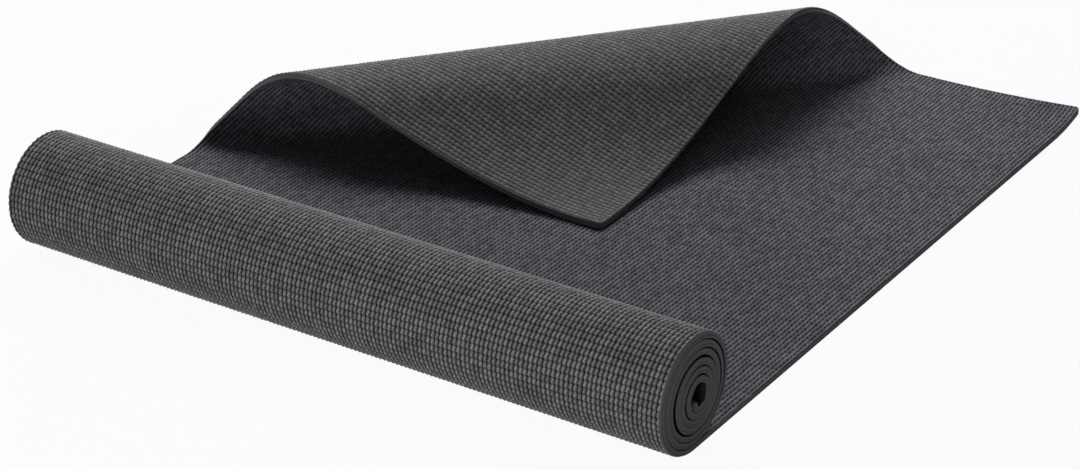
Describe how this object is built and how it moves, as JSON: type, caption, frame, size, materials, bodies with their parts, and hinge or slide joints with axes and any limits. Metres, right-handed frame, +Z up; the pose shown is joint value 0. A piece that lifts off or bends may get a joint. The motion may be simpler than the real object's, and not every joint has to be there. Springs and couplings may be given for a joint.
{
  "type": "yoga mat",
  "caption": "Foam exercise mat lying half unrolled, with its rest wound in a roll and one corner folded over.",
  "frame": {"origin": "middle of the mat's footprint as it lies, on the floor under the lying run", "axes": "+X across the mat along the roll's axis, +Y along the mat from the roll to the far edge, +Z up from the floor"},
  "size_m": [0.6107, 0.6956, 0.096],
  "materials": {
    "base_foam": "matte PVC foam, waffle texture, charcoal grey",
    "scrim": "open woven polyester net, undyed",
    "top_foam": "matte PVC foam, fine lengthwise ribs, charcoal grey"
  },
  "bodies": {
    "lying_sheet": {"base_foam_run": "base_foam", "scrim_run": "scrim", "top_foam_run": "top_foam", "base_foam_bend": "base_foam", "scrim_bend": "scrim", "top_foam_bend": "top_foam"},
    "corner_flap": {"base_foam_flap": "base_foam", "scrim_flap": "scrim", "top_foam_flap": "top_foam"},
    "roll": {"base_foam_roll": "base_foam", "scrim_roll": "scrim", "top_foam_roll": "top_foam"}
  },
  "joints": [
    {"name": "corner_flap_fold", "type": "hinge", "parent": "lying_sheet", "child": "corner_flap", "pos_m": [-0.06606, 0.07614, 0.08687], "axis": [-0.7054, -0.7083, -0.0284], "range_deg": [0, 120]},
    {"name": "roll_lift", "type": "hinge", "parent": "lying_sheet", "child": "roll", "pos_m": [0, -0.22299, 0.0056], "axis": [-1, 0, 0], "range_deg": [0, 75]}
  ]
}
